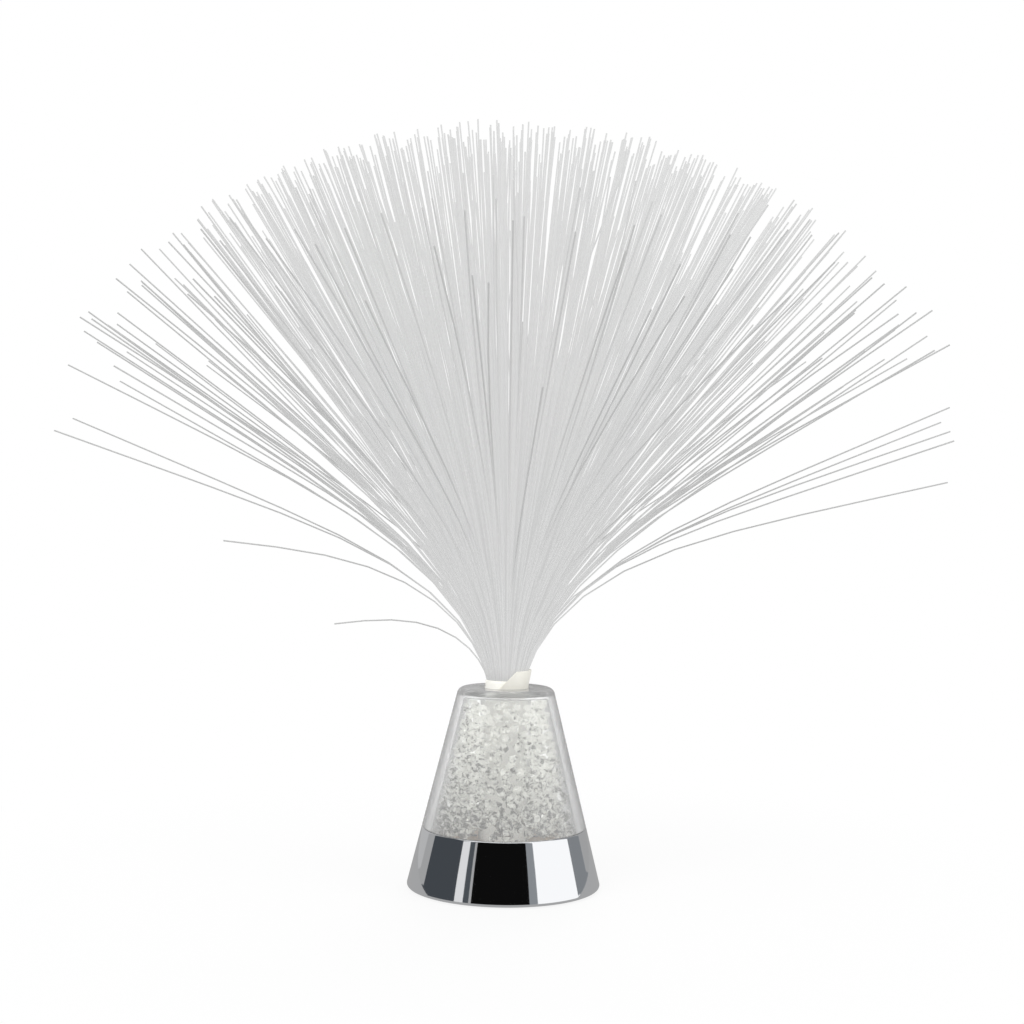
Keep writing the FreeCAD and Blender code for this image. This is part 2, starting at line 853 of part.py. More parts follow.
def chip_seeds():
    """Middles of the crystal chips, scattered between the centre tube and the cup's wall."""
    chance = random.Random(seed_of_chips)
    margin = chip_spacing * chip_seed_margin
    seeds = []
    for _ in range(chip_tries):
        z = fill_bottom + margin + chance.random() ** chip_low_bias * chip_fill_height
        radius = math.sqrt(chance.random()) * cup_inside_at_foot
        turn = chance.random() * 360
        if not socket_outer_radius + margin < radius < cup_inside(z) - margin:
            continue
        if z > cup_ceiling - margin:
            continue
        point = Vector(*on_circle(radius, turn), z)
        if all(point.distanceToPoint(other) > chip_spacing for other in seeds):
            seeds.append(point)
    return seeds


def cube_faces(centre, reach):
    """The six faces of a cube, each wound the same way seen from outside."""
    faces = []
    for axis in range(3):
        for sign in (-1, 1):
            corners = []
            for a, b in ((-1, -1), (1, -1), (1, 1), (-1, 1)):
                offset = [0.0, 0.0, 0.0]
                offset[axis] = sign * reach
                offset[(axis + 1) % 3] = a * reach
                offset[(axis + 2) % 3] = b * reach * sign
                corners.append(centre + Vector(*offset))
            faces.append(corners)
    return faces


def chip(seed, seeds):
    """Chip of crushed crystal: the space nearest to its seed, less a gap all round."""
    faces = cube_faces(seed, chip_reach)
    for other in seeds:
        apart = other - seed
        if 0 < apart.Length < 2 * chip_reach * math.sqrt(3):
            normal = Vector(apart).normalize()
            faces = cut_back(faces, normal, normal.dot((seed + other) * 0.5) - chip_gap)
    facing = math.degrees(math.atan2(seed.y, seed.x))
    half_step = math.radians(chip_facing_angles[1] - chip_facing_angles[0]) / 2
    room = cup_inside(0) * math.cos(half_step) - chip_gap
    for step in chip_facing_angles:
        normal = Vector(*on_circle(1, facing + step), cup_inner_taper)
        size = normal.Length
        faces = cut_back(faces, normal * (1 / size), room / size)
    inward = Vector(*on_circle(-1, facing), 0)
    faces = cut_back(faces, inward, -socket_outer_radius - chip_gap)
    faces = cut_back(faces, Vector(0, 0, -1), -fill_bottom)
    faces = cut_back(faces, Vector(0, 0, 1), cup_ceiling - chip_gap)
    return flat_faced(faces)


def crystal_chips():
    """All the chips, in a lower and an upper group."""
    seeds = chip_seeds()
    middle = fill_bottom + chip_fill_height * chip_group_share
    lower = [chip(seed, seeds) for seed in seeds if seed.z < middle]
    upper = [chip(seed, seeds) for seed in seeds if seed.z >= middle]
    print("crystal chips:", len(lower), "lower and", len(upper), "upper")
    return Part.makeCompound(lower), Part.makeCompound(upper)


def all_parts():
    """Every sub-part by its name."""
    lower_chips, upper_chips = crystal_chips()
    parts = {
        "base_ring": base_ring(),
        "bottom_cover": bottom_cover(),
        "cover_screws": cover_screws(),
        "foot_pads": foot_pads(),
        "battery_door": battery_door(),
        "battery_cells": battery_cells(),
        "contact_plates": contact_plates(),
        "contact_springs": contact_springs(),
        "switch_body": switch_body(),
        "switch_terminals": switch_terminals(),
        "switch_knob": switch_knob(),
        "crystal_cup": crystal_cup(),
        "crystal_chips_lower": lower_chips,
        "crystal_chips_upper": upper_chips,
        "light_board": light_board(),
        "bundle_led": led_at(0, 0),
        "crystal_leds": crystal_leds(),
        "board_resistors": board_resistors(),
        "colour_controller": colour_controller(),
        "battery_leads": battery_leads(),
        "switch_leads": switch_leads(),
        "potted_bundle": potted_bundle(),
        "bundle_sleeve": bundle_sleeve(),
    }
    for n, tier in enumerate(fibre_spray(), 1):
        parts[f"fibre_tier_{n:02d}"] = tier
    return parts


os.makedirs("parts", exist_ok=True)
for name, shape in all_parts().items():
    shape.exportStep(f"parts/{name}.step")
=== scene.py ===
"""Fiber optic lamp: a spray of plastic fibres on a clear cup of crushed crystals and a chromed ring."""
import logging
import math
import random
from dataclasses import dataclass
from enum import Enum
from typing import Iterable, Sequence, Union

import bmesh
import bpy
from mathutils import Euler, Matrix, Vector


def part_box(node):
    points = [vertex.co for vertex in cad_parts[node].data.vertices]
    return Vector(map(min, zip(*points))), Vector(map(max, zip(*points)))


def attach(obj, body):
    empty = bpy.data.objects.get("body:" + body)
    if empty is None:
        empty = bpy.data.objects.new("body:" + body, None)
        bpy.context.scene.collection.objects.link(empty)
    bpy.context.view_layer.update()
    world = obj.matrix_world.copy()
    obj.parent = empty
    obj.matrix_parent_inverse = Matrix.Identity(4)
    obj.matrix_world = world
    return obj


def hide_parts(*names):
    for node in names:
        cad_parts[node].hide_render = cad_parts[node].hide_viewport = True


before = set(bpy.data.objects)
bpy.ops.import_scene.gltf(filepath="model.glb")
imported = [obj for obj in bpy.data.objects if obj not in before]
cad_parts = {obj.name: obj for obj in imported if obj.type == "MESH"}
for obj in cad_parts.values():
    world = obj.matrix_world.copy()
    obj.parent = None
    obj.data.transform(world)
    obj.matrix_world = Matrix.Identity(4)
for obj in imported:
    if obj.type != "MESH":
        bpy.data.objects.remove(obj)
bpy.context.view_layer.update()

LOG = logging.getLogger("fiber_optic_lamp")
MM = 0.001
GOLDEN_ANGLE = 137.50776  # degrees from one fibre to the next
STUB = 1.2  # millimetres of each fibre below its root
STEPS_PER_POINT = 6  # steps of the bending sum between two points of a fibre
POINT_CROWDING = 1.7  # above 1, a fibre's points lie closer near its root
MERGE_REACH = 1e-6  # metres within which corners become one
RING_REACH = 2e-5  # metres within which an edge ring is found
PLASTIC_IOR = 1.49
CRYSTAL_IOR = 1.5
SEEING_RAYS = ("Camera", "Glossy", "Transmission")
MIX_LOW, MIX_HIGH, MIX_RESULT = 6, 7, 2  # sockets of a colour Mix node
Number = Union[float, "Value"]
Outline = Sequence[tuple[float, float]]


class Body(Enum):
    """Moving bodies of the lamp."""

    BASE = "base"
    SLIDER = "switch_slider"
    DOOR = "battery_door"
    SPRAY = "fibre_spray"


# Shader maths

class Value:
    """Shader value whose operators add Math nodes to its graph."""

    def __init__(self, graph: "Graph", socket: bpy.types.NodeSocket) -> None:
        """Wrap one output socket of a graph."""
        self.graph = graph
        self.socket = socket

    def _with(self, operation: str, first: Number, second: Number) -> "Value":
        """Value of a Math node on two values or numbers."""
        return self.graph.add("ShaderNodeMath", {"operation": operation}, {0: first, 1: second})

    def __add__(self, other: Number) -> "Value":
        """Sum."""
        return self._with("ADD", self, other)

    __radd__ = __add__

    def __mul__(self, other: Number) -> "Value":
        """Product."""
        return self._with("MULTIPLY", self, other)

    __rmul__ = __mul__

    def __sub__(self, other: Number) -> "Value":
        """Difference."""
        return self._with("SUBTRACT", self, other)

    def __rsub__(self, other: Number) -> "Value":
        """Difference from a number."""
        return self._with("SUBTRACT", other, self)

    def __truediv__(self, other: Number) -> "Value":
        """Quotient."""
        return self._with("DIVIDE", self, other)

    def __pow__(self, other: Number) -> "Value":
        """Power."""
        return self._with("POWER", self, other)

    def __gt__(self, other: Number) -> "Value":
        """One where the value is greater, else zero."""
        return self._with("GREATER_THAN", self, other)


class Graph:
    """Node graph of one new material."""

    def __init__(self, name: str) -> None:
        """Start an empty material.

        Args:
            name: The material's name.
        """
        self.material = bpy.data.materials.new(name)
        self.material.use_nodes = True
        self.tree = self.material.node_tree
        self.tree.nodes.clear()
        self.output = self.tree.nodes.new("ShaderNodeOutputMaterial")

    def node(self, kind: str, settings: dict, inputs: dict) -> bpy.types.Node:
        """Add a node, set it up and feed its sockets.

        Args:
            kind: The node's type.
            settings: Properties to set first.
            inputs: Numbers, colours or values by socket name or place.

        Returns:
            The new node.
        """
        made = self.tree.nodes.new(kind)
        for key, setting in settings.items():
            setattr(made, key, setting)
        for key, given in inputs.items():
            if isinstance(given, Value):
                self.tree.links.new(given.socket, made.inputs[key])
            elif isinstance(given, bpy.types.NodeSocket):
                self.tree.links.new(given, made.inputs[key])
            else:
                made.inputs[key].default_value = given
        return made

    def add(self, kind: str, settings: dict, inputs: dict, output: Union[int, str] = 0) -> Value:
        """Add a node and wrap one of its outputs.

        Args:
            kind: The node's type.
            settings: Properties to set first.
            inputs: Numbers, colours or values by socket name or place.
            output: Which output is meant.

        Returns:
            The wrapped output.
        """
        return Value(self, self.node(kind, settings, inputs).outputs[output])

    def place(self) -> Value:
        """Point of the surface in the object's own space."""
        return self.add("ShaderNodeTexCoord", {}, {}, "Object")

    def axes(self) -> tuple[Value, ...]:
        """Coordinates of the surface point in metres."""
        split = self.node("ShaderNodeSeparateXYZ", {}, {0: self.place()})
        return tuple(Value(self, output) for output in split.outputs)

    def radius(self) -> Value:
        """Distance of the surface point from the upright axis in metres."""
        x, y, _ = self.axes()
        return (x * x + y * y) ** 0.5

    def ramp(self, value: Value, start: float, end: float) -> Value:
        """Smooth step from 0 to 1 as a value goes from start to end."""
        return self.add("ShaderNodeMapRange", {"interpolation_type": "SMOOTHSTEP"},
                        {"Value": value, "From Min": start, "From Max": end})

    def shown(self) -> Value:
        """One for rays from the camera, a reflection or clear plastic, else zero."""
        path = self.node("ShaderNodeLightPath", {}, {})
        camera, glossy, clear = (Value(self, path.outputs[f"Is {ray} Ray"]) for ray in SEEING_RAYS)
        return (camera + glossy + clear) > 0.5

    def noise(self, per_metre: float, detail: float = 3.0, rough: float = 0.5) -> Value:
        """Smooth noise from 0 to 1.

        Args:
            per_metre: Waves in a metre.
            detail: Octaves of detail.
            rough: Strength of the fine octaves.

        Returns:
            The noise.
        """
        return self.add("ShaderNodeTexNoise", {}, {
            "Vector": self.place(), "Scale": per_metre, "Detail": detail, "Roughness": rough})

    def blend(self, mask: Value, low: Sequence[float], high: Sequence[float]) -> Value:
        """Mix two colours.

        Args:
            mask: Share of the high colour, from 0 to 1.
            low: Red, green and blue where the mask is 0.
            high: Red, green and blue where it is 1.

        Returns:
            The colour.
        """
        return self.add("ShaderNodeMix", {"data_type": "RGBA"},
                        {0: mask, MIX_LOW: (*low, 1.0), MIX_HIGH: (*high, 1.0)}, MIX_RESULT)

    def bump(self, height: Value, strength: float, distance: float) -> Value:
        """Normal from a height pattern.

        Args:
            height: The pattern.
            strength: Share of the bump that shows.
            distance: Its depth in metres.

        Returns:
            The normal.
        """
        return self.add("ShaderNodeBump", {},
                        {"Strength": strength, "Distance": distance, "Height": height})

    def shader(self, **inputs: object) -> bpy.types.NodeSocket:
        """Principled shader, with sockets given by name with underscores."""
        made = self.node("ShaderNodeBsdfPrincipled", {},
                         {key.replace("_", " "): given for key, given in inputs.items()})
        return made.outputs[0]

    def surface(self, **inputs: object) -> bpy.types.Material:
        """Finish with one Principled shader, with sockets given as for shader."""
        self.tree.links.new(self.shader(**inputs), self.output.inputs[0])
        return self.material

    def mixed(self, share: Value, first: bpy.types.NodeSocket,
              second: bpy.types.NodeSocket) -> bpy.types.Material:
        """Finish with two shaders, the second by a share of 0 to 1."""
        mix = self.node("ShaderNodeMixShader", {}, {0: share, 1: first, 2: second})
        self.tree.links.new(mix.outputs[0], self.output.inputs[0])
        return self.material


# Finishes

@dataclass(frozen=True)
class Chrome:
    """Bright chrome plate with faint waves and wiping marks."""

    tint: tuple[float, float, float] = (0.93, 0.94, 0.96)

    def make(self, name: str) -> bpy.types.Material:
        """Make the finish.

        Args:
            name: The material's name.

        Returns:
            The material.
        """
        graph = Graph(name)
        wave = graph.noise(28.0, 1.0)
        haze = graph.noise(900.0, 2.0)
        return graph.surface(Base_Color=(*self.tint, 1.0), Metallic=1.0,
                             Roughness=haze * 0.025 + 0.03,
                             Normal=graph.bump(wave, 0.25, 0.0004))


@dataclass(frozen=True)
class ClearPlastic:
    """Clear injection-moulded plastic with a faint handling haze, a faint painted glow and grey painted
    shade towards its edges.
    """

    tint: tuple[float, float, float] = (0.985, 0.99, 0.985)
    haze: float = 0.02
    wave: float = 0.1
    clarity: float = 0.9
    # painted glow: a faint white emission, though the plastic gives no light
    painted_glow: float = 0.05
    # painted shade: a grey shader mixed in where the surface turns away from the view, in place of dark
    # surroundings seen through the wall
    edge_shade: float = 0.38
    edge_share: float = 0.85
    edge_facing: tuple[float, float] = (0.22, 0.85)

    def make(self, name: str) -> bpy.types.Material:
        """Make the finish.

        Args:
            name: The material's name.

        Returns:
            The material.
        """
        graph = Graph(name)
        clear = graph.shader(Base_Color=(*self.tint, 1.0), Transmission_Weight=self.clarity,
                             IOR=PLASTIC_IOR, Roughness=graph.noise(260.0, 2.0) * self.haze,
                             Normal=graph.bump(graph.noise(45.0, 1.0), self.wave, 0.0006),
                             Emission_Color=(*(self.painted_glow,) * 3, 1.0), Emission_Strength=1.0)
        # grey painted shade, mixed in by how far the surface turns away from the view
        painted_edge = graph.shader(Base_Color=(*(self.edge_shade,) * 3, 1.0), Roughness=0.1,
                             IOR=PLASTIC_IOR)
        facing = graph.add("ShaderNodeLayerWeight", {}, {"Blend": 0.5}, "Facing")
        return graph.mixed(graph.ramp(facing, *self.edge_facing) * self.edge_share, clear, painted_edge)


@dataclass(frozen=True)
class CrystalShine:
    """Broken clear crystal with a painted glow and small spots of painted shade, more of them lower
    down.
    """

    clarity: float = 0.68
    # painted shade spots: near-black base colour and no glow, in a noise pattern
    painted_shade_base: tuple[float, float, float] = (0.10, 0.10, 0.09)
    bright_base: tuple[float, float, float] = (0.96, 0.96, 0.94)
    painted_shade_glow: tuple[float, float, float] = (0.0, 0.0, 0.0)
    # painted glow of the chips outside the painted shade spots
    painted_lit_glow: tuple[float, float, float] = (0.13, 0.13, 0.12)
    middle: float = 0.05
    fade: float = 2.0
    painted_shade_waves: float = 430.0
    painted_shade_edge: tuple[float, float] = (0.39, 0.53)

    def make(self, name: str) -> bpy.types.Material:
        """Make the finish.

        Args:
            name: The material's name.

        Returns:
            The material.
        """
        graph = Graph(name)
        # painted shade spots: the noise is lifted with height above middle, so the dark spots grow more
        # common lower down
        lower_shade_lift = (graph.axes()[2] - self.middle) * self.fade
        light = graph.ramp(graph.noise(self.painted_shade_waves, 3.0, 0.7) + lower_shade_lift, *self.painted_shade_edge)
        return graph.surface(Base_Color=graph.blend(light, self.painted_shade_base, self.bright_base),
                             Transmission_Weight=self.clarity, IOR=CRYSTAL_IOR, Roughness=0.03,
                             Emission_Color=graph.blend(light, self.painted_shade_glow, self.painted_lit_glow),
                             Emission_Strength=1.0)


@dataclass(frozen=True)
class FibreGloss:
    """Clear fibre with a painted glow, strongest where the spray is dense.

    The painted glow changes with the lean, which is radius over height above fan_foot, in metres.
    """

    shade: float
    # painted glow of the inner and of the outer fibres
    painted_glow_inside: float
    painted_glow_outside: float
    fan_foot: float = 0.075
    rim_lean: tuple[float, float] = (0.5, 1.0)

    def make(self, name: str) -> bpy.types.Material:
        """Make the finish.

        Args:
            name: The material's name.

        Returns:
            The material.
        """
        graph = Graph(name)
        # painted glow: emission that lights the dense middle, where the fibres shade each other, more
        # than the fibres leaning out to the rim
        lean = graph.radius() / (graph.axes()[2] - self.fan_foot)
        rim = graph.ramp(lean, *self.rim_lean)
        streak = graph.noise(500.0, 2.0)
        base = graph.blend(streak, (self.shade * 0.9,) * 3, (self.shade, self.shade * 1.01, self.shade))
        painted_glow = graph.blend(rim, (self.painted_glow_inside,) * 3, (self.painted_glow_outside,) * 3)
        return graph.surface(Base_Color=base, Roughness=0.2, IOR=PLASTIC_IOR,
                             Emission_Color=painted_glow, Emission_Strength=1.0)


@dataclass(frozen=True)
class Resin:
    """Cast resin or glue, cloudy and a little uneven, with a painted glow where one is given."""

    pale: tuple[float, float, float] = (0.90, 0.88, 0.78)
    deep: tuple[float, float, float] = (0.78, 0.75, 0.60)
    roughness: float = 0.3
    # painted glow: emission strength, though the resin gives no light
    painted_glow: float = 0.0

    def make(self, name: str) -> bpy.types.Material:
        """Make the finish.

        Args:
            name: The material's name.

        Returns:
            The material.
        """
        graph = Graph(name)
        cloud = graph.noise(160.0, 4.0)
        colour = graph.blend(cloud, self.deep, self.pale)
        return graph.surface(Base_Color=colour,
                             Roughness=graph.noise(600.0) * 0.2 + self.roughness,
                             Normal=graph.bump(graph.noise(350.0, 3.0), 0.3, 0.0003),
                             Emission_Color=colour, Emission_Strength=self.painted_glow)


@dataclass(frozen=True)
class MouldedPlastic:
    """Moulded plastic with a fine spark-eroded grain."""

    colour: tuple[float, float, float]
    grain: float = 2600.0
    roughness: float = 0.45

    def make(self, name: str) -> bpy.types.Material:
        """Make the finish.

        Args:
            name: The material's name.

        Returns:
            The material.
        """
        graph = Graph(name)
        grain = graph.noise(self.grain, 2.0)
        drift = graph.noise(60.0, 2.0)
        light = tuple(min(1.0, c * 1.25 + 0.004) for c in self.colour)
        return graph.surface(Base_Color=graph.blend(drift, self.colour, light),
                             Roughness=grain * 0.15 + self.roughness,
                             Normal=graph.bump(grain, 0.35, 0.00012))


@dataclass(frozen=True)
class SheetMetal:
    """Nickel-plated or plain sheet steel with fine rolling lines."""

    colour: tuple[float, float, float] = (0.72, 0.71, 0.68)
    roughness: float = 0.25

    def make(self, name: str) -> bpy.types.Material:
        """Make the finish.

        Args:
            name: The material's name.

        Returns:
            The material.
        """
        graph = Graph(name)
        lines = graph.noise(1500.0, 2.0)
        return graph.surface(Base_Color=(*self.colour, 1.0), Metallic=1.0,
                             Roughness=lines * 0.2 + self.roughness,
                             Normal=graph.bump(lines, 0.2, 0.00008))


@dataclass(frozen=True)
class CellWrap:
    """Plain sleeve of a battery cell that lies along Y, with bare metal ends.

    reach is the sleeve's half length in metres.
    """

    reach: float
    sleeve: tuple[float, float, float] = (0.045, 0.09, 0.17)
    metal: tuple[float, float, float] = (0.72, 0.71, 0.69)

    def make(self, name: str) -> bpy.types.Material:
        """Make the finish.

        Args:
            name: The material's name.

        Returns:
            The material.
        """
        graph = Graph(name)
        along = graph.axes()[1]
        bare = (along * along) ** 0.5 > self.reach
        scuff = graph.noise(700.0, 3.0)
        return graph.surface(Base_Color=graph.blend(bare, self.sleeve, self.metal), Metallic=bare,
                             Roughness=scuff * 0.2 + 0.18,
                             Normal=graph.bump(scuff, 0.1, 0.00005))


@dataclass(frozen=True)
class PhenolicBoard:
    """Brown paper-phenolic circuit board."""

    low: tuple[float, float, float] = (0.30, 0.15, 0.055)
    high: tuple[float, float, float] = (0.52, 0.30, 0.13)

    def make(self, name: str) -> bpy.types.Material:
        """Make the finish.

        Args:
            name: The material's name.

        Returns:
            The material.
        """
        graph = Graph(name)
        fibres = graph.noise(420.0, 5.0, 0.7)
        return graph.surface(Base_Color=graph.blend(fibres, self.low, self.high),
                             Roughness=fibres * 0.2 + 0.35,
                             Normal=graph.bump(fibres, 0.2, 0.0001))


# Modelling helpers

def deselect_all() -> None:
    """Leave edit mode and deselect everything."""
    if bpy.context.object is not None and bpy.context.object.mode != "OBJECT":
        bpy.ops.object.mode_set(mode="OBJECT")
    bpy.ops.object.select_all(action="DESELECT")


def only(piece: bpy.types.Object) -> None:
    """Select one piece alone and make it active."""
    deselect_all()
    piece.select_set(True)
    bpy.context.view_layer.objects.active = piece


def settle(piece: bpy.types.Object) -> bpy.types.Object:
    """Move a piece's place and turn into its mesh."""
    only(piece)
    bpy.ops.object.transform_apply(location=True, rotation=True, scale=True)
    return piece


def modified(piece: bpy.types.Object, kind: str, **settings: object) -> None:
    """Add a modifier to a piece and apply it.

    Args:
        piece: The piece.
        kind: The modifier's type.
        **settings: Its properties.
    """
    only(piece)
    modifier = piece.modifiers.new(kind.title(), kind)
    for key, setting in settings.items():
        setattr(modifier, key, setting)
    bpy.ops.object.modifier_apply(modifier=modifier.name)


def smooth(piece: bpy.types.Object, angle: float = 32.0) -> None:
    """Shade a piece smooth, with edges sharper than the angle left crisp."""
    only(piece)
    bpy.ops.object.shade_smooth_by_angle(angle=math.radians(angle))


def turned(name: str, outline: Outline, sides: int = 128, closed: bool = True) -> bpy.types.Object:
    """Turn an outline about Z, by extruding and scaling one ring from point to point.

    Args:
        name: The piece's name.
        outline: Radius and height pairs in millimetres, in order.
        sides: Number of sides round.
        closed: Whether the last point joins the first. If not, both ends are capped.

    Returns:
        The piece, with its place in its mesh.
    """
    deselect_all()
    radius, height = outline[0]
    bpy.ops.mesh.primitive_circle_add(vertices=sides, radius=radius * MM, location=(0, 0, height * MM),
                                      fill_type="NOTHING" if closed else "NGON")
    piece = bpy.context.object
    piece.name = name
    bpy.ops.object.mode_set(mode="EDIT")
    bpy.ops.mesh.select_mode(type="EDGE")
    bpy.ops.mesh.select_all(action="SELECT")
    for next_radius, next_height in list(outline[1:]) + (list(outline[:1]) if closed else []):
        bpy.ops.mesh.extrude_edges_move(
            TRANSFORM_OT_translate={"value": (0, 0, (next_height - height) * MM)})
        scale = next_radius / radius
        bpy.ops.transform.resize(value=(scale, scale, 1), center_override=(0, 0, 0))
        radius, height = next_radius, next_height
    if not closed:
        bpy.ops.mesh.edge_face_add()
    bpy.ops.mesh.select_all(action="SELECT")
    bpy.ops.mesh.remove_doubles(threshold=MERGE_REACH)
    bpy.ops.mesh.normals_make_consistent(inside=False)
    bpy.ops.object.mode_set(mode="OBJECT")
    return settle(piece)


def bevel_rings(piece: bpy.types.Object, corners: Iterable[tuple[float, float]], width: float,
                segments: int = 4) -> None:
    """Round the edge rings of a turned piece at some corners of its outline.

    Args:
        piece: The turned piece.
        corners: Radius and height of each ring in millimetres.
        width: Bevel width in millimetres.
        segments: Steps across the bevel.
    """
    corners = list(corners)
    only(piece)
    bpy.ops.object.mode_set(mode="EDIT")
    bpy.ops.mesh.select_mode(type="EDGE")
    bpy.ops.mesh.select_all(action="DESELECT")
    mesh = bmesh.from_edit_mesh(piece.data)
    for edge in mesh.edges:
        for radius, height in corners:
            if all(abs(math.hypot(v.co.x, v.co.y) - radius * MM) < RING_REACH
                   and abs(v.co.z - height * MM) < RING_REACH for v in edge.verts):
                edge.select = True
    bmesh.update_edit_mesh(piece.data)
    bpy.ops.mesh.bevel(offset=width * MM, segments=segments, profile=0.5)
    bpy.ops.object.mode_set(mode="OBJECT")


def dress(piece: bpy.types.Object, material: bpy.types.Material) -> None:
    """Give a piece its only material."""
    piece.data.materials.clear()
    piece.data.materials.append(material)


def recoat(node: str, material: bpy.types.Material) -> None:
    """Give a carried-over CAD node a new finish."""
    dress(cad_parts[node], material)


def fit(piece: bpy.types.Object, body: Body, nodes: Sequence[str] = ()) -> bpy.types.Object:
    """Join a finished piece to the frame.

    Args:
        piece: The piece.
        body: The body it rides on.
        nodes: CAD nodes that it stands for.

    Returns:
        The same piece.
    """
    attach(piece, body.value)
    if nodes:
        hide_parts(*nodes)
    LOG.info("%s: %d faces on %s", piece.name, len(piece.data.polygons), body.value)
    return piece


# Sub-assemblies

@dataclass(frozen=True)
class Cone:
    """Cone that the ring and the cup share, in millimetres, as in the CAD model."""

    foot_radius: float = 40.586
    taper: float = 0.25
    ring_bottom: float = 0.5
    ring_top: float = 25.2
    cup_top: float = 83.1

    def radius(self, height: float) -> float:
        """Outer radius at a height."""
        return self.foot_radius - self.taper * height


@dataclass
class ChromeRing:
    """Chromed ring at the foot of the lamp."""

    cone: Cone
    wall: float = 2.06
    lip: float = 1.4
    shelf_top: float = 20.0
    shelf_bottom: float = 18.0
    shelf_inner_radius: float = 26.03
    foot_round: float = 1.3
    rim_round: float = 0.6
    inside_round: float = 0.4

    def build(self) -> None:
        """Model, finish and fit the ring."""
        cone = self.cone
        foot = (cone.radius(cone.ring_bottom), cone.ring_bottom)
        rim = (cone.radius(cone.ring_top), cone.ring_top)
        lip = (rim[0] - self.lip, cone.ring_top)
        inside = [(foot[0] - self.wall, foot[1]),
                  (cone.radius(self.shelf_bottom) - self.wall, self.shelf_bottom)]
        ring = turned("chrome_ring", [
            inside[0], foot, rim, lip,
            (lip[0], self.shelf_top), (self.shelf_inner_radius, self.shelf_top),
            (self.shelf_inner_radius, self.shelf_bottom), inside[1],
        ], sides=160)
        bevel_rings(ring, [foot], self.foot_round, 6)
        bevel_rings(ring, [rim, lip], self.rim_round, 4)
        bevel_rings(ring, [inside[0]], self.inside_round, 2)
        smooth(ring)
        dress(ring, Chrome().make("ring_chrome"))
        fit(ring, Body.BASE, ["base_ring"])


@dataclass
class CrystalCup:
    """Clear cup with its centre tube."""

    cone: Cone
    skirt_bottom: float = 21.7
    skirt_radius: float = 32.59
    wall_at_foot: float = 3.9
    wall_at_top: float = 3.3
    top_wall: float = 3.0
    bore: float = 9.48
    tube_radius: float = 10.58
    tube_bottom: float = 22.0
    shoulder: float = 2.3
    inner_round: float = 1.5
    edge_round: float = 0.4

    def inside(self, height: float) -> float:
        """Inner radius at a height."""
        low = self.cone.radius(self.cone.ring_top) - self.wall_at_foot
        ceiling = self.cone.cup_top - self.top_wall
        high = self.cone.radius(ceiling) - self.wall_at_top
        share = (height - self.cone.ring_top) / (ceiling - self.cone.ring_top)
        return low + (high - low) * share

    def build(self) -> None:
        """Model, finish and fit the cup."""
        cone = self.cone
        ceiling = cone.cup_top - self.top_wall
        shoulder = (cone.radius(cone.cup_top), cone.cup_top)
        seat = (cone.radius(cone.ring_top), cone.ring_top)
        inner = (self.inside(ceiling), ceiling)
        mouth = (self.bore, cone.cup_top)
        cup = turned("clear_cup", [
            (self.inside(self.skirt_bottom), self.skirt_bottom),
            (self.skirt_radius, self.skirt_bottom),
            (self.skirt_radius, cone.ring_top),
            seat, shoulder, mouth,
            (self.bore, self.tube_bottom),
            (self.tube_radius, self.tube_bottom),
            (self.tube_radius, ceiling),
            inner,
        ], sides=144)
        bevel_rings(cup, [shoulder], self.shoulder, 10)
        bevel_rings(cup, [inner, (self.tube_radius, ceiling)], self.inner_round, 5)
        bevel_rings(cup, [seat, mouth], self.edge_round, 3)
        smooth(cup)
        dress(cup, ClearPlastic().make("cup_plastic"))
        fit(cup, Body.BASE, ["crystal_cup"])


